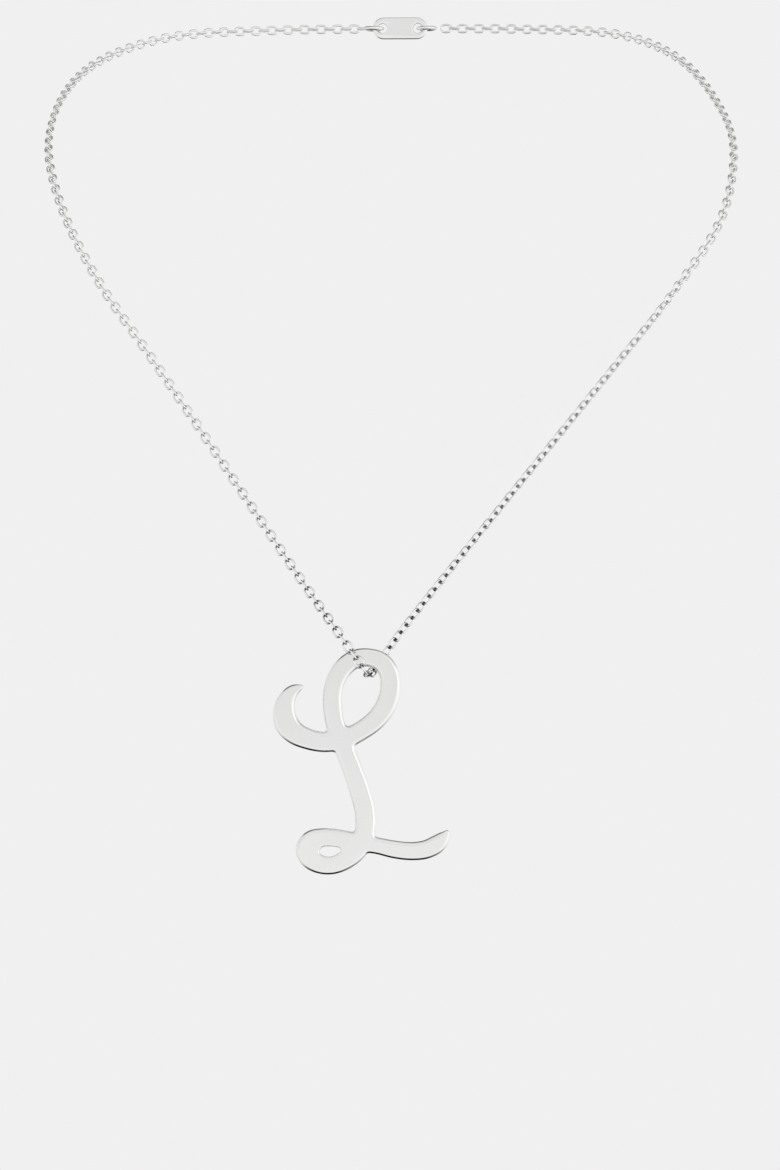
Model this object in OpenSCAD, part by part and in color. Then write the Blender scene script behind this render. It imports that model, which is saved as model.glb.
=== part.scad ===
// Initial pendant: a polished script capital cut from plate, hung straight on a fine
// cable chain that goes through the letter's upper loop, with a plain clasp at the nape.
// Millimetres. +Z is up, the letter faces -Y, and the origin is the nape, where the
// back of the clasp rests on the neck.

/* [Letter] */
// Height of the letter's middle line, from the top of its loop to its foot
letter_h = 34.4; // [32:0.1:38]
// Width of the stroke where it is plain
stroke_w = 3.3; // [2.9:0.05:3.5]
// Thickness of the plate that the letter is cut from
plate_t = 1.4; // [1:0.05:1.8]
// Radius in the corners where two strokes meet
fillet_r = 0.45; // [0.2:0.05:0.6]

/* [Chain] */
// Width of the chain's links, which is the diameter of the chain as a whole
link_w = 1.6; // [1.2:0.05:1.8]
// Room between pieces that lie against each other
lay_gap = 0.3; // [0.2:0.05:0.4]

/* [Clasp] */
// Length of the clasp
clasp_l = 10; // [8:0.5:14]
// Width of the clasp
clasp_w = 4; // [3.6:0.1:6]
// Thickness of the clasp
clasp_t = 1.6; // [1.2:0.1:2]
// Metal left outside each of the clasp's eyes
eye_wall = 0.9; // [0.6:0.1:1.2]
// Outer diameter of the jump rings
ring_d = 4; // [3.8:0.1:4.8]
// Diameter of the jump rings' wire
ring_wire = 0.7; // [0.5:0.05:0.8]

/* [Hidden] */

silver = "#d6d6d8";
chain_silver = "#c4c4c8";

// The chain's way from the clasp down to the letter on the wearer's right, the middle of
// its lowest bend, where the letter hangs and turns, and its way back up to the clasp
ROUTE = [
    [-22, -2.5, -0.5], [-41, -12, -2.5], [-52.5, -26.5, -8], [-57.7, -43.5, -16],
    [-58.5, -59, -26], [-54.7, -72.5, -37.5], [-47.4, -83.5, -50.5], [-38, -92, -63.5],
    [-27.9, -99.5, -77.5], [-18, -106, -91.5], [-8, -112.4, -105.5],
    [0.7, -114, -117.5],
    [8.9, -111, -106], [20, -105.5, -92], [30.5, -98.5, -78.5], [40.7, -90.5, -65.6],
    [50.7, -81.5, -52.6], [58.7, -70.7, -39.5], [61, -58, -27], [57.7, -41, -16.5],
    [50.5, -25, -7.5], [40.5, -12, -2.5], [22, -2.5, -0.5]
];
// Point of the route at which the letter hangs
HANG_POINT = 11;
HANG = ROUTE[HANG_POINT];

// The pen's way along the letter's middle line, from the tip of the hook to the tip of
// the tail. Each row holds x and z from the top of the loop, as shares of letter_h, and
// the pen's width there as a share of stroke_w.
PEN = [
    [-0.326, -0.140, 0.23],
    [-0.360, -0.156, 0.61],
    [-0.389, -0.188, 0.84],
    [-0.409, -0.250, 1.10],
    [-0.400, -0.312, 1.23],
    [-0.362, -0.359, 1.15],
    [-0.299, -0.390, 1.05],
    [-0.210, -0.406, 1.01],
    [-0.108, -0.387, 0.98],
    [-0.040, -0.351, 0.98],
    [0.030, -0.299, 1.01],
    [0.080, -0.230, 1.04],
    [0.102, -0.145, 1.02],
    [0.092, -0.065, 0.98],
    [0.055, -0.018, 0.96],
    [0.000, 0.000, 0.92],
    [-0.062, -0.005, 0.94],
    [-0.120, -0.044, 0.97],
    [-0.162, -0.112, 0.97],
    [-0.177, -0.204, 0.97],
    [-0.166, -0.305, 0.97],
    [-0.126, -0.420, 0.99],
    [-0.085, -0.525, 1.01],
    [-0.045, -0.640, 1.05],
    [-0.020, -0.740, 1.06],
    [-0.020, -0.835, 1.04],
    [-0.055, -0.920, 1.00],
    [-0.115, -0.972, 0.95],
    [-0.180, -0.998, 0.89],
    [-0.240, -0.992, 0.93],
    [-0.284, -0.962, 1.07],
    [-0.297, -0.920, 1.22],
    [-0.275, -0.883, 1.14],
    [-0.230, -0.864, 0.94],
    [-0.170, -0.864, 0.89],
    [-0.095, -0.878, 0.90],
    [-0.020, -0.893, 0.86],
    [0.040, -0.903, 0.84],
    [0.120, -0.920, 0.90],
    [0.206, -0.928, 0.92],
    [0.275, -0.919, 0.94],
    [0.330, -0.890, 0.90],
    [0.363, -0.855, 0.60],
    [0.375, -0.835, 0.23]
];
// Last row of the table
PEN_END = len(PEN) - 1;
// Rows at which the pen's way is cut, so that no stretch crosses itself
PEN_CUTS = [0, 15, 31, PEN_END];
// Row of the table at the top of the loop, below which the chain goes through
HANG_ROW = 15;
// Points that the curve gets for each row
pen_steps = 5;

// Sides of the chain's tube, and the most between two of its rings
tube_sides = 8;
ring_step = 6.2;
// Rings in the bend below the letter's loop, and half the way across that it takes
bend_rings = 9;
bend_reach = 1.1;
// Height and half width of the chain's lie at the letter, above the lowest bend
lie_up = 6.5;
lie_out = 4.55;
// Room between the chain and the rim that it carries
rim_gap = 0.75;

// How far the chain's middle keeps from the plate's own middle, and from its rim
bend_r = plate_t / 2 + lay_gap + link_w / 2;
bend_drop = rim_gap + link_w / 2;
// Middle line of the jump rings
ring_r = (ring_d - ring_wire) / 2;
// How far a jump ring's wire bows within the thickness of the clasp
ring_bow = ring_r - sqrt(pow(ring_r, 2) - pow(clasp_t / 2, 2));
eye_r = ring_wire / 2 + ring_bow + lay_gap;
eye_x = clasp_l / 2 - eye_wall - eye_r;
// Middle of each jump ring, and the place where the chain's tube ends beside it
ring_x = eye_x + ring_r;
chain_end_x = ring_x + ring_r + ring_wire / 2 + lay_gap;

function unit(v) = v / norm(v);

// Direction of a path of points at its point i, per mm of way
function heading(path, i) =
    let (
        before = path[max(i - 1, 0)],
        here = path[i],
        after = path[min(i + 1, len(path) - 1)],
        back = norm(here - before),
        on = norm(after - here)
    )
    back == 0 ? (after - here) / on :
    on == 0 ? (here - before) / back :
    ((here - before) * on / back + (after - here) * back / on) / (back + on);

// Point at share t of the smooth curve between points i and i + 1 of a path
function curve_point(path, i, t) =
    let (
        reach = norm(path[i + 1] - path[i]),
        leave = heading(path, i) * reach,
        arrive = heading(path, i + 1) * reach
    )
    path[i] * (1 + 2 * t) * pow(1 - t, 2) + leave * t * pow(1 - t, 2)
    + path[i + 1] * (3 - 2 * t) * pow(t, 2) - arrive * (1 - t) * pow(t, 2);

// Smooth curve through a path's points a to b, in steps no longer than the given one
function curve(path, a, b, step) = [
    for (i = [a : b - 1])
        let (count = ceil(norm(path[i + 1] - path[i]) / step))
            for (k = [0 : count - 1]) curve_point(path, i, k / count),
    path[b]
];

// The pen's rows in millimetres: x, z and width
pen_rows = [for (row = PEN) [row[0] * letter_h, row[1] * letter_h, row[2] * stroke_w]];

// The pen's whole way as a fine curve of such rows
pen_way = [
    for (i = [0 : PEN_END - 1])
        for (k = [0 : pen_steps - 1]) curve_point(pen_rows, i, k / pen_steps),
    pen_rows[PEN_END]
];

// Place of the edge of the stroke beside point i of the pen's way, on side 1 or -1
function stroke_edge(i, side) =
    let (along = unit(heading([for (row = pen_way) [row[0], row[1]]], i)))
    [pen_way[i][0], pen_way[i][1]] + [-along[1], along[0]] * side * pen_way[i][2] / 2;

module stroke(first, last) {
    polygon(concat(
        [for (i = [first : last]) stroke_edge(i, 1)],
        [for (i = [last : -1 : first]) stroke_edge(i, -1)]
    ));
}

module pen_tip(i) {
    translate([pen_way[i][0], pen_way[i][1]]) circle(d = pen_way[i][2], $fn = 24);
}

module letter_outline() {
    offset(r = -fillet_r, $fn = 24) offset(r = fillet_r, $fn = 24) {
        for (cut = [1 : len(PEN_CUTS) - 1]) {
            stroke(PEN_CUTS[cut - 1] * pen_steps, PEN_CUTS[cut] * pen_steps);
        }
        pen_tip(0);
        pen_tip(PEN_END * pen_steps);
    }
}

// Height of the loop's middle line above the lowest bend of the chain
hang_h = pen_rows[HANG_ROW][2] / 2 + bend_drop;

// The letter: plate cut along the pen's stroke, hung by the rim of its loop
module letter() {
    color(silver) translate(HANG + [0, plate_t / 2, hang_h]) rotate([90, 0, 0])
        linear_extrude(height = plate_t) letter_outline();
}

// The bend: in front of the plate, under the loop's rim and up behind it
bend = [
    for (k = [0 : bend_rings - 1])
        let (turn = 180 * k / (bend_rings - 1))
            HANG + [
                bend_reach * (turn / 90 - 1), -bend_r * cos(turn), bend_drop * (1 - sin(turn))
            ]
];

// Middle line of the chain's branches on each side of the bend
branch_down = concat(
    [[-chain_end_x, clasp_t / 2, 0]], [for (i = [0 : HANG_POINT - 1]) ROUTE[i]],
    [HANG + [-lie_out, -bend_r, lie_up], bend[0]]
);
branch_up = concat(
    [bend[bend_rings - 1], HANG + [lie_out, bend_r, lie_up]],
    [for (i = [HANG_POINT + 1 : len(ROUTE) - 1]) ROUTE[i]], [[chain_end_x, clasp_t / 2, 0]]
);

// Middle line of the whole chain, one point for each ring of its tube
chain_way = concat(
    curve(branch_down, 0, len(branch_down) - 1, ring_step),
    [for (k = [1 : bend_rings - 2]) bend[k]],
    curve(branch_up, 0, len(branch_up) - 1, ring_step)
);
chain_headings = [for (i = [0 : len(chain_way) - 1]) unit(heading(chain_way, i))];

// Each ring keeps the last one's side direction, squared to its own heading
function squared(side, along) = unit(side - along * (side * along));
chain_sides = [
    for (
        i = 0, side = squared([0, 0, 1], chain_headings[0]);
        i < len(chain_way);
        i = i + 1, side = i < len(chain_way) ? squared(side, chain_headings[i]) : side
    ) side
];

function ring_points(i) = [
    for (k = [0 : tube_sides - 1])
        let (turn = 360 * k / tube_sides)
            chain_way[i] + link_w / 2 * (
                cos(turn) * chain_sides[i] + sin(turn) * cross(chain_headings[i], chain_sides[i])
            )
];

// The chain: fine oval links, drawn as the round tube that they fill
module chain() {
    last = (len(chain_way) - 1) * tube_sides;
    color(chain_silver) polyhedron(
        points = [for (i = [0 : len(chain_way) - 1]) for (point = ring_points(i)) point],
        faces = concat(
            [[for (k = [0 : tube_sides - 1]) k]],
            [for (i = [0 : len(chain_way) - 2]) for (k = [0 : tube_sides - 1])
                let (a = i * tube_sides + k, b = i * tube_sides + (k + 1) % tube_sides)
                    for (side = [0, 1])
                        side == 0 ? [b, a, a + tube_sides] : [b, a + tube_sides, b + tube_sides]],
            [[for (k = [tube_sides - 1 : -1 : 0]) last + k]]
        )
    );
}

// The clasp: one plain round-ended plate with an eye at each end
module clasp() {
    color(silver) translate([0, clasp_t, 0]) rotate([90, 0, 0]) difference() {
        linear_extrude(height = clasp_t) {
            square([clasp_l - clasp_w, clasp_w], center = true);
            for (side = [-1, 1]) {
                translate([side * (clasp_l - clasp_w) / 2, 0]) circle(d = clasp_w, $fn = 48);
            }
        }
        for (side = [-1, 1]) {
            translate([side * eye_x, 0, clasp_t / 2])
                cylinder(r = eye_r, h = 2 * clasp_t, center = true, $fn = 32);
        }
    }
}

// A jump ring: round wire, standing across the clasp with its eye on the given side
module jump_ring(side) {
    color(silver) translate([side * ring_x, clasp_t / 2, 0])
        rotate_extrude($fn = 48) translate([ring_r, 0]) circle(d = ring_wire, $fn = 24);
}

module clasp_ring() {
    jump_ring(-1);
}

module end_ring() {
    jump_ring(1);
}

letter();
chain();
clasp();
clasp_ring();
end_ring();
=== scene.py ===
import math

import bmesh
import bpy
import numpy as np
from mathutils import Matrix, Vector


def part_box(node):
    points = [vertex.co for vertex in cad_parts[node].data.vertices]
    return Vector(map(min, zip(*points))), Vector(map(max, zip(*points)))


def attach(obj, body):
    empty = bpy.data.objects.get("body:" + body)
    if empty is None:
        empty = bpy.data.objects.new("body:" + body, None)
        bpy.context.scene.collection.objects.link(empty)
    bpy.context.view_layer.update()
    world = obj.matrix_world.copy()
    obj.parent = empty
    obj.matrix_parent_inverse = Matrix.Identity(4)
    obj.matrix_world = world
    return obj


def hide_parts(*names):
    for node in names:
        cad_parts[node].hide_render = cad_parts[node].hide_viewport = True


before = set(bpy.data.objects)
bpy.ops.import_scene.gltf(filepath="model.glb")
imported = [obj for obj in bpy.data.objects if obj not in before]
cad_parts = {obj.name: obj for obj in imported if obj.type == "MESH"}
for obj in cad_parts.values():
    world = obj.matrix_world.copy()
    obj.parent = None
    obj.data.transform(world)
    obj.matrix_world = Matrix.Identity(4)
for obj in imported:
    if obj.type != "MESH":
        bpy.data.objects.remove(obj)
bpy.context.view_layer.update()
MM = 0.001

# The camera: level, a metre in front of the letter and three degrees to the right of it, at
# the scale of 0.165 mm to a pixel of the 780 x 1170 frame.
PIXEL = 0.165 * MM
PIXELS_TO_EYE = 6000
PIXELS_HIGH = 1170
SENSOR = 36
AIM = Vector((4.12, -114, -102.45)) * MM
TURN = math.radians(3)

gaze = Vector((-math.sin(TURN), math.cos(TURN), 0))
camera_data = bpy.data.cameras.new("camera")
camera_data.sensor_width = SENSOR
camera_data.lens = SENSOR * PIXELS_TO_EYE / PIXELS_HIGH
camera = bpy.data.objects.new("camera", camera_data)
camera.location = AIM - gaze * PIXELS_TO_EYE * PIXEL
camera.rotation_mode = "QUATERNION"
camera.rotation_quaternion = gaze.to_track_quat("-Z", "Y")
bpy.context.collection.objects.link(camera)
bpy.context.scene.camera = camera

# The letter: sterling silver plate, sawn to its outline, filed round along both rims and
# buffed to a mirror. It hangs on the chain by its upper loop, and swings on it.
SAME = 0.001 * MM
FLAT = math.radians(0.05)
CORNER = math.radians(60)
OUTLINE_NEAR = 0.1 * MM
OUTLINE_FAR = 0.24 * MM
OUTLINE_CUTS = 3
OUTLINE_SMOOTHING = 6
BARELY = 1e-9
UNLIMITED = 1.0
RIM = 0.66 * MM
RIM_STEPS = 7
RIM_INSET = 0.03 * MM
RIM_DEPTH_SHARE = 0.92
RIM_CLEARANCE = 0.85
RIM_EASING = 3
EYE_RIM = 0.3 * MM
BAY = 10 * MM
BAY_COSINE = 0.9
BAY_EASING = 8
WHEEL_MEETS = 0.75
WHEEL_FADE = 0.45
SATIN_FADE = 0.6
SATIN = 0.75
PLATE_TONE = 0.95
PLATE_GLOSS = 0.06
PLATE_GRAIN = 9000
BUFFING_SLANT = math.radians(24)
BUFFING_STRETCH = 0.08
SWELL_GRAIN = 260
SWELL_DEPTH = 0.004 * MM
SCORE_DEPTH = 0.0004 * MM
BLOOM_GRAIN = 70


def only(piece):
    """Leaves one object selected and active."""
    bpy.ops.object.select_all(action="DESELECT")
    piece.select_set(True)
    bpy.context.view_layer.objects.active = piece


def merged_copy(node, name):
    """A copy of a CAD node on its own, with its doubles merged and its flat faces whole."""
    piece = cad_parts[node].copy()
    piece.data = piece.data.copy()
    piece.data.materials.clear()
    piece.name = name
    piece.parent = None
    for mark in list(piece.keys()):
        del piece[mark]
    bpy.context.collection.objects.link(piece)
    only(piece)
    bpy.ops.object.mode_set(mode="EDIT")
    bpy.ops.mesh.select_all(action="SELECT")
    bpy.ops.mesh.remove_doubles(threshold=SAME)
    bpy.ops.mesh.dissolve_limited(angle_limit=FLAT)
    bpy.ops.object.mode_set(mode="OBJECT")
    return piece


def loops_of(form):
    """The closed loops of a wire outline, as lists of vertices in order."""
    left = dict.fromkeys(form.verts)
    loops = []
    while left:
        onward = [next(iter(left))]
        loop = []
        while onward:
            loop.append(onward[0])
            del left[onward[0]]
            onward = [edge.other_vert(loop[-1]) for edge in loop[-1].link_edges]
            onward = [vertex for vertex in onward if vertex in left]
        loops.append(loop)
    return loops


def area_of(loop):
    """The signed area inside a loop, seen from the front."""
    following = loop[1:] + loop[:1]
    return sum(a.co.x * b.co.z - b.co.x * a.co.z for a, b in zip(loop, following)) / 2


def around(values, spread):
    """The values along a loop, with those of their neighbours on both sides."""
    return [np.roll(values, k) for k in range(-spread, spread + 1)]


# The outline is the front edge of the CAD plate, evened out and smoothed
plate_low, plate_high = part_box("letter")
plate_middle = (plate_low.y + plate_high.y) / 2
plate_half = (plate_high.y - plate_low.y) / 2
letter = merged_copy("letter", "letter_plate")
bpy.ops.object.mode_set(mode="EDIT")
bpy.ops.mesh.select_mode(type="EDGE")
bpy.ops.mesh.select_all(action="DESELECT")
form = bmesh.from_edit_mesh(letter.data)
for edge in form.edges:
    in_front = all(vertex.co.y < plate_low.y + SAME for vertex in edge.verts)
    edge.select_set(not (in_front and edge.calc_face_angle(0) > CORNER))
bmesh.update_edit_mesh(letter.data)
bpy.ops.mesh.delete(type="EDGE")
bpy.ops.mesh.select_all(action="SELECT")
bpy.ops.mesh.remove_doubles(threshold=OUTLINE_NEAR)
for cut in range(OUTLINE_CUTS):
    form = bmesh.from_edit_mesh(letter.data)
    for edge in form.edges:
        edge.select_set(False)
    for edge in form.edges:
        if edge.calc_length() > OUTLINE_FAR:
            edge.select_set(True)
    bpy.ops.mesh.subdivide(number_cuts=1)
bpy.ops.mesh.select_all(action="SELECT")
bpy.ops.mesh.vertices_smooth(factor=0.5, repeat=OUTLINE_SMOOTHING)

# Each point of the outline learns which way the metal lies, how far the rim may reach in,
# no further than the middle of the stroke and less in the foot's small eye, and whether it
# lies in a loop or the hook's bay
form = bmesh.from_edit_mesh(letter.data)
for name in ("home", "inward"):
    form.verts.layers.float_vector.new(name)
for name in ("reach", "unbuffed"):
    form.verts.layers.float.new(name)
home = form.verts.layers.float_vector["home"]
inward = form.verts.layers.float_vector["inward"]
reach = form.verts.layers.float["reach"]
unbuffed = form.verts.layers.float["unbuffed"]
loops = loops_of(form)
outer = max(loops, key=lambda loop: abs(area_of(loop)))
eye = min(loops, key=lambda loop: abs(area_of(loop)))
for loop in loops:
    if (area_of(loop) > 0) != (loop is outer):
        loop.reverse()
    for before, vertex, after in zip(loop[-1:] + loop[:-1], loop, loop[1:] + loop[:1]):
        along = (after.co - before.co).normalized()
        vertex[home] = vertex.co
        vertex[inward] = (-along.z, 0, along.x)
outline = [vertex for loop in loops for vertex in loop]
places = np.array([vertex.co for vertex in outline])
normals = np.array([vertex[inward] for vertex in outline])
across = places[None, :, :] - places[:, None, :]
ahead = np.einsum("ijk,ik->ij", across, normals)
square = (across ** 2).sum(axis=2)
with np.errstate(divide="ignore", invalid="ignore"):
    radius = np.where(ahead > BARELY, square / (2 * ahead), UNLIMITED)
reach_in = np.minimum(RIM, RIM_CLEARANCE * radius.min(axis=1))
apart = np.sqrt(square)
in_bay = ((-ahead > BAY_COSINE * apart) & (apart < BAY) & (apart > 0)).any(axis=1).astype(float)
in_bay *= np.clip((WHEEL_MEETS + normals[:, 0]) / WHEEL_FADE, 0, 1)
begin = 0
for loop in loops:
    part = reach_in[begin:begin + len(loop)]
    if loop is eye:
        part = np.minimum(part, EYE_RIM)
    part = np.min(around(part, RIM_EASING), axis=0)
    for rub in range(RIM_EASING):
        part = sum(around(part, 1)) / 3
    bay_part = np.mean(around(in_bay[begin:begin + len(loop)], BAY_EASING), axis=0)
    for vertex, deep, bay in zip(loop, part, bay_part):
        vertex[reach] = deep
        vertex[unbuffed] = bay
    begin += len(loop)
bmesh.update_edit_mesh(letter.data)

# The front rim is drawn from the middle of the plate forward and in, step by step, and its
# face filled. The back is its mirror image.
bpy.ops.mesh.select_all(action="SELECT")
for step in range(-1, RIM_STEPS + 2):
    if step >= 0:
        bpy.ops.mesh.extrude_region_move()
    form = bmesh.from_edit_mesh(letter.data)
    home = form.verts.layers.float_vector["home"]
    inward = form.verts.layers.float_vector["inward"]
    reach = form.verts.layers.float["reach"]
    unbuffed = form.verts.layers.float["unbuffed"]
    turn = math.pi / 2 * min(max(step, 0), RIM_STEPS) / RIM_STEPS
    inset = RIM_INSET if step > RIM_STEPS else 0
    for vertex in form.verts:
        if vertex.select:
            vertex.co = vertex[home] + vertex[inward] * (vertex[reach] * (1 - math.cos(turn)) + inset)
            rim_deep = min(vertex[reach], plate_half * RIM_DEPTH_SHARE)
            vertex.co.y = plate_low.y + rim_deep * (1 - math.sin(turn)) if step >= 0 else plate_middle
            if step > RIM_STEPS / 2:
                vertex[unbuffed] *= SATIN_FADE
    bmesh.update_edit_mesh(letter.data)
bpy.ops.mesh.fill(use_beauty=True)
bpy.ops.object.mode_set(mode="OBJECT")
middle = bpy.data.objects.new("middle", None)
middle.location.y = plate_middle
bpy.context.collection.objects.link(middle)
mirror = letter.modifiers.new("back", "MIRROR")
mirror.use_axis = (False, True, False)
mirror.mirror_object = middle
mirror.merge_threshold = SAME
bpy.ops.object.modifier_apply(modifier="back")
bpy.data.objects.remove(middle)
bpy.ops.object.mode_set(mode="EDIT")
bpy.ops.mesh.select_all(action="SELECT")
bpy.ops.mesh.normals_make_consistent(inside=False)
bpy.ops.object.mode_set(mode="OBJECT")
bpy.ops.object.shade_smooth()
for name in ("home", "inward", "reach"):
    letter.data.attributes.remove(letter.data.attributes[name])


def add_node(nodes, kind, settings=(), **sockets):
    """A new shader node, with its settings and the sockets that aren't wired set."""
    made = nodes.new("ShaderNode" + kind)
    for name, value in dict(settings).items():
        setattr(made, name, value)
    for name, value in sockets.items():
        made.inputs[name.replace("_", " ")].default_value = value
    return made


def silver(name, tone, gloss, grain):
    """Polished silver, in metres: buffing lines, soft unevenness and a breath of tarnish."""
    material = bpy.data.materials.new(name)
    material.use_nodes = True
    nodes = material.node_tree.nodes
    wire = material.node_tree.links.new
    shader = nodes["Principled BSDF"]
    shader.inputs["Metallic"].default_value = 1
    place = add_node(nodes, "TexCoord")
    slant = add_node(nodes, "Mapping", Rotation=(0, BUFFING_SLANT, 0), Scale=(BUFFING_STRETCH, 1, 1))
    wire(place.outputs["Object"], slant.inputs["Vector"])

    lines = add_node(nodes, "TexNoise", Scale=grain, Detail=4)
    wire(slant.outputs["Vector"], lines.inputs["Vector"])
    dullness = add_node(
        nodes, "MapRange", From_Min=0.35, From_Max=0.65, To_Min=gloss * 0.75, To_Max=gloss * 1.35,
    )
    wire(lines.outputs["Fac"], dullness.inputs["Value"])
    wire(dullness.outputs["Result"], shader.inputs["Roughness"])

    swell = add_node(nodes, "TexNoise", Scale=SWELL_GRAIN, Detail=1)
    wire(place.outputs["Object"], swell.inputs["Vector"])
    rubbed = add_node(nodes, "Bump", Strength=0.5, Distance=SWELL_DEPTH)
    wire(swell.outputs["Fac"], rubbed.inputs["Height"])
    scored = add_node(nodes, "Bump", Strength=0.5, Distance=SCORE_DEPTH)
    wire(lines.outputs["Fac"], scored.inputs["Height"])
    wire(rubbed.outputs["Normal"], scored.inputs["Normal"])
    wire(scored.outputs["Normal"], shader.inputs["Normal"])

    bloom = add_node(nodes, "TexNoise", Scale=BLOOM_GRAIN, Detail=3)
    wire(place.outputs["Object"], bloom.inputs["Vector"])
    tarnish = add_node(
        nodes, "Mix", {"data_type": "RGBA"},
        A=(tone, tone, tone, 1), B=(tone * 0.975, tone * 0.972, tone * 0.962, 1),
    )
    wire(bloom.outputs["Fac"], tarnish.inputs["Factor"])
    wire(tarnish.outputs["Result"], shader.inputs["Base Color"])
    return material


# The buff can't reach well into the loops and the hook, so their rims keep a satin finish
plate_silver = silver("plate_silver", PLATE_TONE, PLATE_GLOSS, PLATE_GRAIN)
nodes = plate_silver.node_tree.nodes
wire = plate_silver.node_tree.links.new
roughness = nodes["Principled BSDF"].inputs["Roughness"]
buffed = roughness.links[0].from_socket
missed = add_node(nodes, "Attribute", {"attribute_name": "unbuffed"})
satin = add_node(nodes, "Mix", B=SATIN)
wire(missed.outputs["Fac"], satin.inputs["Factor"])
wire(buffed, satin.inputs["A"])
wire(satin.outputs["Result"], roughness)
letter.data.materials.append(plate_silver)
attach(letter, "pendant")
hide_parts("letter")

# The chain: a fine cable chain of small oval links of round silver wire, each bent shut
# through the last one and soldered. It passes through the letter's upper loop.
WIRE = 0.35 * MM
WIRE_SIDES = 6
LINK_SEGMENTS = 16
LINK_LENGTH = 2.26 * MM
LINK_WIDTH = 1.72 * MM
PLAY = 0.025 * MM
SNUG = 0.0025
PITCH_SLACK = 0.02
PITCH_TRIALS = 40
TUBE = 1.6 * MM
LAY_GAP = 0.3 * MM
RIM_GAP = 0.75 * MM
BEND_REACH = 1.1 * MM
BEND_LIFT = 0.3 * MM
BEND_TURNS = 12
LIE_UP = 6.5 * MM
LIE_OUT = 4.55 * MM
CURVE_STEPS = 24
ROUTE_DOWN = [
    (-22, -2.5, -0.5), (-41, -12, -2.5), (-52.5, -26.5, -8), (-57.7, -43.5, -16),
    (-58.5, -59, -26), (-54.7, -72.5, -37.5), (-47.4, -83.5, -50.5), (-37.85, -92, -63.5),
    (-27.8, -99.5, -77.5), (-18, -106, -91.5), (-8, -112.4, -105.5),
]
HANG = Vector((0.7, -114, -117.5)) * MM
ROUTE_UP = [
    (9.1, -111, -106), (20.15, -105.5, -92), (30.78, -98.5, -78.5), (40.88, -90.5, -65.6),
    (50.77, -81.5, -52.6), (58.85, -70.7, -39.5), (61, -58, -27), (57.7, -41, -16.5),
    (50.5, -25, -7.5), (40.5, -12, -2.5), (22, -2.5, -0.5),
]
FRONT_LINK = 4
EXTRA_TURN = math.radians(45)
EXTRA_TURN_LINKS = 4
EXTRA_TURN_TOP = -46 * MM
EXTRA_TURN_FADE = 12 * MM
WIRE_TONE = 0.97
WIRE_GLOSS = 0.12
WIRE_GRAIN = 15000
# Painted shade at the link crossings: its near-black tone, the extra on the inside of the wire, and
# the heights over which it fades from strong near the letter to faint higher up
CROSSING_SHADE_TONE = (0.09, 0.09, 0.092, 1)
CROSSING_SHADE_INSIDE = 0.15
DARK_BELOW = -108 * MM
BRIGHT_ABOVE = -30 * MM
DARK_ONSET = 0.36
BRIGHT_ONSET = 0.95
DARKENING = 2.5


def heading(path, i):
    """The way that the path runs at one of its points."""
    before, here, after = path[max(i - 1, 0)], path[i], path[min(i + 1, len(path) - 1)]
    back, on = (here - before).length, (after - here).length
    if back == 0:
        return (after - here) / on
    if on == 0:
        return (here - before) / back
    return ((here - before) * on / back + (after - here) * back / on) / (back + on)


def curve(path):
    """A smooth curve through all the points of a path."""
    points = []
    for i in range(len(path) - 1):
        span = (path[i + 1] - path[i]).length
        leave, arrive = heading(path, i) * span, heading(path, i + 1) * span
        for k in range(CURVE_STEPS):
            t = k / CURVE_STEPS
            points.append(
                path[i] * (1 + 2 * t) * (1 - t) ** 2 + leave * t * (1 - t) ** 2
                + path[i + 1] * (3 - 2 * t) * t ** 2 - arrive * (1 - t) * t ** 2
            )
    return points + [path[-1]]


def joints_along(way, pitch, half):
    """Points on the way, a hair under a pitch apart up to the half, and a hair over after it."""
    joints = [way[0]]
    for a, b in zip(way, way[1:]):
        while True:
            step = pitch * (1 - SNUG if len(joints) <= half else 1 + SNUG)
            if (b - joints[-1]).length < step:
                break
            gap, leg = a - joints[-1], b - a
            q = leg.dot(leg)
            h = gap.dot(leg)
            c = gap.dot(gap) - step ** 2
            t = (-h + math.sqrt(max(h * h - q * c, 0))) / q
            joints.append(a + leg * t)
    return joints


def squared(side, line):
    """A side direction, made square to a line."""
    return (side - line * side.dot(line)).normalized()


# The chain's way runs from one jump ring down to the letter, round under its loop's upper
# rim, and up to the other ring. A pitch is sought that brings a whole number of links to
# both, but the search settles one link short, so the last link, at the end ring, is missing.
ring_low, ring_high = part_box("clasp_ring")
ring_wire = ring_high.z - ring_low.z
chain_end = Vector((ring_low.x + ring_wire, (ring_low.y + ring_high.y) / 2, 0))
other_end = Vector((-chain_end.x, chain_end.y, 0))
bend_out = plate_half + LAY_GAP + TUBE / 2
bend_drop = RIM_GAP + TUBE / 2 - BEND_LIFT
bend = [
    HANG + Vector((
        BEND_REACH * (2 * k / BEND_TURNS - 1),
        -bend_out * math.cos(math.pi * k / BEND_TURNS),
        BEND_LIFT + bend_drop * (1 - math.sin(math.pi * k / BEND_TURNS)),
    )) for k in range(BEND_TURNS + 1)
]
lie_front = HANG + Vector((-LIE_OUT, -bend_out, LIE_UP))
lie_back = HANG + Vector((LIE_OUT, bend_out, LIE_UP))
down = curve([chain_end] + [Vector(point) * MM for point in ROUTE_DOWN] + [lie_front, bend[0]])
up = curve([bend[-1], lie_back] + [Vector(point) * MM for point in ROUTE_UP] + [other_end])
way = down + bend[1:-1] + up
length = sum((b - a).length for a, b in zip(way, way[1:]))
link_pitch = LINK_LENGTH - 2 * WIRE - PLAY
count = round(length / link_pitch)
lowest_pitch, highest_pitch = link_pitch * (1 - PITCH_SLACK), link_pitch * (1 + PITCH_SLACK)
for trial in range(PITCH_TRIALS):
    pitch = (lowest_pitch + highest_pitch) / 2
    joints = joints_along(way, pitch, count / 2)
    if len(joints) - 1 - count + (way[-1] - joints[-1]).length / pitch > 0:
        lowest_pitch = pitch
    else:
        highest_pitch = pitch
joints = joints[:count + 1]
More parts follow.
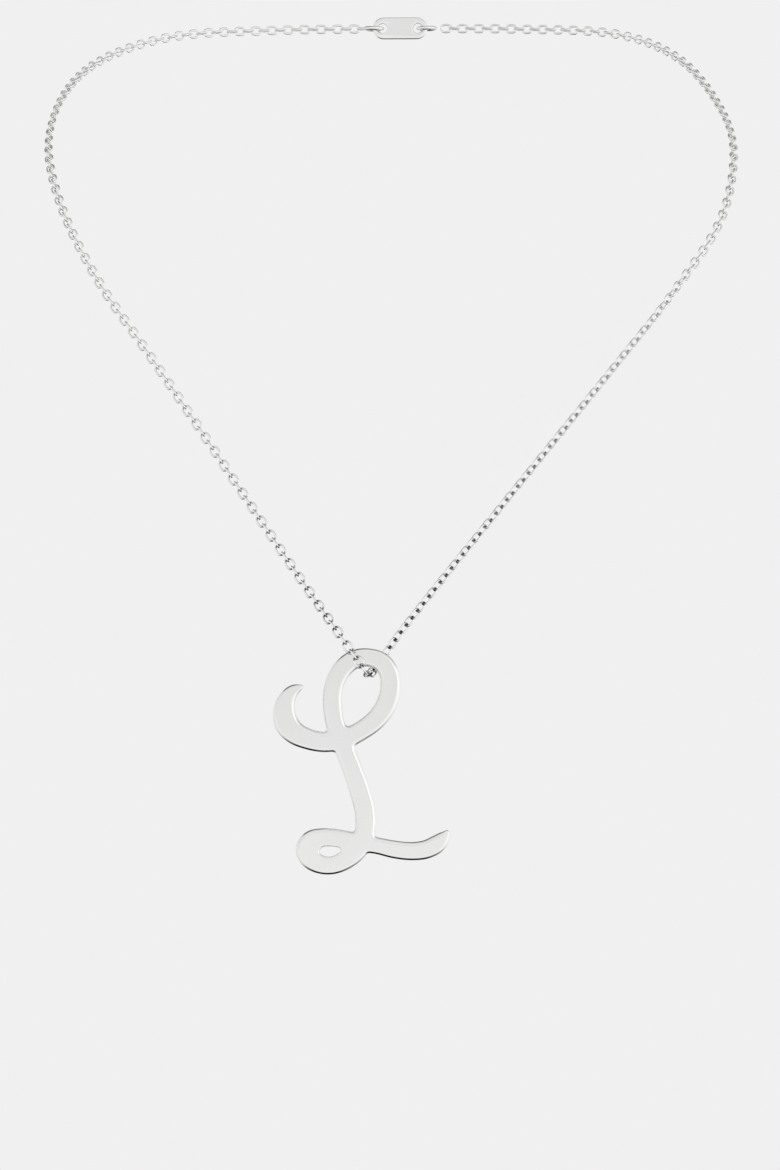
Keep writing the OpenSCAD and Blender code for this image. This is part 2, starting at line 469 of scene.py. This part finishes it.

# One link: a ring of wire drawn out to an oval, weighted for painted shade at its ends, where the
# links cross each other
bpy.ops.object.select_all(action="DESELECT")
bpy.ops.mesh.primitive_torus_add(
    major_segments=LINK_SEGMENTS, minor_segments=WIRE_SIDES,
    major_radius=(LINK_WIDTH - WIRE) / 2, minor_radius=WIRE / 2,
)
link = bpy.context.object
bpy.ops.object.mode_set(mode="EDIT")
form = bmesh.from_edit_mesh(link.data)
crossing_shade = form.verts.layers.float.new("crossing_shade")
for vertex in form.verts:
    from_middle = math.hypot(vertex.co.x, vertex.co.y)
    at_end = abs(vertex.co.x) / from_middle
    inside = ((LINK_WIDTH - WIRE) / 2 - from_middle) / (WIRE / 2)
    vertex[crossing_shade] = at_end * (1 - CROSSING_SHADE_INSIDE + CROSSING_SHADE_INSIDE * inside)
bmesh.update_edit_mesh(link.data)
for side in (-1, 1):
    bpy.ops.mesh.select_all(action="DESELECT")
    form = bmesh.from_edit_mesh(link.data)
    for vertex in form.verts:
        if vertex.co.x * side > SAME:
            vertex.select_set(True)
    form.select_flush_mode()
    bmesh.update_edit_mesh(link.data)
    bpy.ops.transform.translate(value=(side * (LINK_LENGTH - LINK_WIDTH) / 2, 0, 0))
bpy.ops.object.mode_set(mode="OBJECT")
bpy.ops.object.shade_smooth()

# Each link stands square to the last, from one that lies flat before the plate. The branch
# that leaves behind the plate takes an eighth of a turn more, and loses it higher up. The
# first link comes out flat in its jump ring's own plane, and cuts into the ring's wire.
middles = [(a + b) / 2 for a, b in zip(joints, joints[1:])]
lines = [(b - a).normalized() for a, b in zip(joints, joints[1:])]
lowest = min(range(len(middles)), key=lambda i: (middles[i] - HANG).length)
front_link = lowest - FRONT_LINK
sides = {front_link: squared(Vector((0, -1, 0)), lines[front_link])}
for i in range(front_link + 1, len(middles)):
    sides[i] = squared(lines[i - 1].rotation_difference(lines[i]) @ sides[i - 1], lines[i])
for i in range(front_link - 1, -1, -1):
    sides[i] = squared(lines[i + 1].rotation_difference(lines[i]) @ sides[i + 1], lines[i])
links = []
for i in range(len(middles)):
    twist = math.pi / 2 * (i % 2)
    if i > lowest:
        falling = min(1, max(0, (EXTRA_TURN_TOP - middles[i].z) / EXTRA_TURN_FADE))
        twist += EXTRA_TURN * min(1, (i - lowest) / EXTRA_TURN_LINKS) * falling
    flat_side = Matrix.Rotation(twist, 3, lines[i]) @ sides[i]
    place = Matrix((lines[i], flat_side.cross(lines[i]), flat_side)).transposed().to_4x4()
    place.translation = middles[i]
    one = bpy.data.objects.new("link", link.data.copy())
    one.data.transform(place)
    bpy.context.collection.objects.link(one)
    links.append(one)
bpy.data.objects.remove(link)
bpy.ops.object.select_all(action="DESELECT")
for one in links:
    one.select_set(True)
chain = links[0]
bpy.context.view_layer.objects.active = chain
bpy.ops.object.join()
chain.name = "chain_links"

# Painted shade: the wire's colour is darkened towards near black at the link crossings, where the
# links shade each other, and more so lower down, towards the letter
wire_silver = silver("wire_silver", WIRE_TONE, WIRE_GLOSS, WIRE_GRAIN)
nodes = wire_silver.node_tree.nodes
wire = wire_silver.node_tree.links.new
colour = nodes["Principled BSDF"].inputs["Base Color"]
bright = colour.links[0].from_socket
crossing_shade_weight = add_node(nodes, "Attribute", {"attribute_name": "crossing_shade"})
place = add_node(nodes, "TexCoord")
height = add_node(nodes, "SeparateXYZ")
wire(place.outputs["Object"], height.inputs[0])
onset = add_node(
    nodes, "MapRange", From_Min=DARK_BELOW, From_Max=BRIGHT_ABOVE,
    To_Min=DARK_ONSET, To_Max=BRIGHT_ONSET,
)
wire(height.outputs["Z"], onset.inputs["Value"])
past_onset = add_node(nodes, "Math", {"operation": "SUBTRACT"})
wire(crossing_shade_weight.outputs["Fac"], past_onset.inputs[0])
wire(onset.outputs["Result"], past_onset.inputs[1])
painted_shade = add_node(nodes, "Math", {"operation": "MULTIPLY", "use_clamp": True})
painted_shade.inputs[1].default_value = DARKENING
wire(past_onset.outputs[0], painted_shade.inputs[0])
shaded_colour = add_node(nodes, "Mix", {"data_type": "RGBA"}, B=CROSSING_SHADE_TONE)
wire(painted_shade.outputs[0], shaded_colour.inputs["Factor"])
wire(bright, shaded_colour.inputs["A"])
wire(shaded_colour.outputs["Result"], colour)
chain.data.materials.append(wire_silver)
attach(chain, "necklace")
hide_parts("chain")

# The clasp: a plain round-ended plate of silver with an eye at each end, its edges rubbed
# round. It closes the chain at the back, between the two jump rings.
EASED_EDGE = 0.3 * MM
EASED_STEPS = 4
SMOOTH_BELOW = math.radians(40)
clasp = merged_copy("clasp", "clasp_plate")
eased = clasp.modifiers.new("eased", "BEVEL")
eased.width = EASED_EDGE
eased.segments = EASED_STEPS
eased.limit_method = "ANGLE"
eased.angle_limit = CORNER
bpy.ops.object.modifier_apply(modifier="eased")
bpy.ops.object.shade_smooth_by_angle(angle=SMOOTH_BELOW)
polished_silver = silver("polished_silver", PLATE_TONE, PLATE_GLOSS, PLATE_GRAIN)
clasp.data.materials.append(polished_silver)
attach(clasp, "necklace")
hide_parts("clasp")

# The jump rings: round silver wire bent to a ring and pressed shut, one through each eye of
# the clasp. On real ones the chain's end links hang on the far side.
RING_STEPS = 56
RING_SIDES = 16
RING_SEAM = math.radians(2.5)
for node, name in (("clasp_ring", "clasp_jump_ring"), ("end_ring", "end_jump_ring")):
    low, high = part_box(node)
    ring_middle = (low + high) / 2
    ring_bend = (high.y - low.y - ring_wire) / 2
    seam = Matrix.Rotation(RING_SEAM / 2, 3, "Z") @ Vector((0, ring_bend, 0))
    bpy.ops.object.select_all(action="DESELECT")
    bpy.ops.mesh.primitive_circle_add(
        vertices=RING_SIDES, radius=ring_wire / 2, fill_type="NGON",
        location=ring_middle + seam, rotation=(0, math.pi / 2, RING_SEAM / 2),
    )
    ring = bpy.context.object
    ring.name = name
    bpy.ops.object.transform_apply(location=True, rotation=True, scale=True)
    bpy.ops.object.mode_set(mode="EDIT")
    bpy.ops.mesh.select_all(action="SELECT")
    bpy.ops.mesh.spin(
        steps=RING_STEPS, angle=2 * math.pi - RING_SEAM, center=ring_middle, axis=(0, 0, 1),
    )
    bpy.ops.mesh.select_all(action="SELECT")
    bpy.ops.mesh.normals_make_consistent(inside=False)
    bpy.ops.object.mode_set(mode="OBJECT")
    bpy.ops.object.shade_smooth_by_angle(angle=SMOOTH_BELOW)
    ring.data.materials.append(polished_silver)
    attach(ring, "necklace")
    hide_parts(node)

# The stage: a pale floor far below and a plain pale backdrop all round. Neither lights the
# silver, which mirrors only the soft light of the studio.
FLOOR_DROP = 1.2
STAGE_RADIUS = 5
PALE = 0.871
PALE_FLOOR = 0.79


def glow(name, strength):
    """A plain pale surface that gives its own even light."""
    material = bpy.data.materials.new(name)
    material.use_nodes = True
    nodes = material.node_tree.nodes
    nodes.remove(nodes["Principled BSDF"])
    light = add_node(nodes, "Emission", Color=(1, 1, 1, 1), Strength=strength)
    material.node_tree.links.new(light.outputs[0], nodes["Material Output"].inputs["Surface"])
    return material


bpy.ops.object.select_all(action="DESELECT")
bpy.ops.mesh.primitive_ico_sphere_add(radius=STAGE_RADIUS, subdivisions=4)
backdrop = bpy.context.object
backdrop.name = "backdrop"
backdrop.data.materials.append(glow("backdrop_glow", PALE))
bpy.ops.mesh.primitive_circle_add(
    radius=STAGE_RADIUS, vertices=96, fill_type="NGON", location=(0, 0, -FLOOR_DROP),
)
floor = bpy.context.object
floor.name = "floor"
floor.data.materials.append(glow("floor_glow", PALE_FLOOR))
for piece in (backdrop, floor):
    piece.visible_glossy = False
    piece.visible_diffuse = False
    piece.visible_shadow = False

# The studio: a white room with a dark gap below and a dimmer one above, behind the piece.
# Its tones go round the line of sight in degrees, from +X and up, in four zones one behind
# the other: before the piece, at its sides, past its sides and behind it.
LAMP = 2
AHEAD_TO_SIDES = (12, 34)
SIDES_TO_PAST = (54, 68)
PAST_TO_BEHIND = (84, 98)
BEHIND_TO_AHEAD = (146, 160)
AHEAD = [(-1, 0.86), (-0.040, 0.86), (-0.020, 0.785), (1, 0.785)]
SIDES = [
    (-180, 0.80), (-160, 0.86), (-140, 0.83), (-115, 0.84), (-80, 0.90), (-40, 0.99),
    (-15, 1.05), (25, 1.08), (45, 0.93), (65, 0.84), (100, 0.83), (150, 0.78), (180, 0.80),
]
PAST_SIDES = [
    (-180, 0.83), (-158, 0.80), (-138, 0.80), (-126, 0.25), (-114, 0.01), (-80, 0.01),
    (-64, 0.38), (-48, 0.78), (-25, 0.95), (0, 1.08), (22, 0.98), (38, 0.72), (62, 0.60),
    (85, 0.72), (110, 0.58), (128, 0.58), (142, 0.70), (180, 0.83),
]
BEHIND = [
    (-180, 0.86), (-150, 0.74), (-138, 0.50), (-128, 0.15), (-114, 0.01), (-80, 0.01),
    (-66, 0.15), (-52, 0.38), (-38, 0.77), (-15, 0.92), (18, 0.92), (32, 0.58), (64, 0.46),
    (84, 0.30), (104, 0.12), (132, 0.09), (143, 0.70), (180, 0.86),
]
world = bpy.data.worlds.new("studio")
bpy.context.scene.world = world
world.use_nodes = True
nodes = world.node_tree.nodes
wire = world.node_tree.links.new
nodes.clear()
where = add_node(nodes, "TexCoord")
split = add_node(nodes, "SeparateXYZ")
wire(where.outputs["Generated"], split.inputs[0])


def tone_ramp(source, stops):
    """Tones at stops of a source, with straight blends between."""
    low, high = stops[0][0], stops[-1][0]
    span = add_node(nodes, "MapRange", From_Min=low, From_Max=high)
    wire(source, span.inputs["Value"])
    ramp = add_node(nodes, "ValToRGB")
    wire(span.outputs[0], ramp.inputs[0])
    elements = ramp.color_ramp.elements
    for at, tone in stops[1:-1]:
        elements.new((at - low) / (high - low))
    for element, (at, tone) in zip(elements, stops):
        element.color = (tone / LAMP, tone / LAMP, tone / LAMP, 1)
    return ramp.outputs[0]


def joined(near, far, near_angle, far_angle):
    """Blend of two zones of the room, between two angles from straight ahead."""
    blend = add_node(
        nodes, "MapRange", {"interpolation_type": "SMOOTHSTEP"},
        From_Min=-math.cos(math.radians(near_angle)), From_Max=-math.cos(math.radians(far_angle)),
    )
    wire(split.outputs["Y"], blend.inputs["Value"])
    mix = add_node(nodes, "Mix", {"data_type": "RGBA"})
    wire(blend.outputs[0], mix.inputs["Factor"])
    wire(near, mix.inputs["A"])
    wire(far, mix.inputs["B"])
    return mix.outputs["Result"]


turned = add_node(nodes, "Math", {"operation": "ARCTAN2"})
wire(split.outputs["Z"], turned.inputs[0])
wire(split.outputs["X"], turned.inputs[1])
degrees = add_node(nodes, "Math", {"operation": "DEGREES"})
wire(turned.outputs[0], degrees.inputs[0])
ahead_tone = tone_ramp(split.outputs["Z"], AHEAD)
room = joined(ahead_tone, tone_ramp(degrees.outputs[0], SIDES), *AHEAD_TO_SIDES)
room = joined(room, tone_ramp(degrees.outputs[0], PAST_SIDES), *SIDES_TO_PAST)
room = joined(room, tone_ramp(degrees.outputs[0], BEHIND), *PAST_TO_BEHIND)
room = joined(room, ahead_tone, *BEHIND_TO_AHEAD)
light = add_node(nodes, "Background", Strength=LAMP)
wire(room, light.inputs["Color"])
output = add_node(nodes, "OutputWorld")
wire(light.outputs[0], output.inputs["Surface"])
bpy.context.scene.view_settings.view_transform = "Standard"
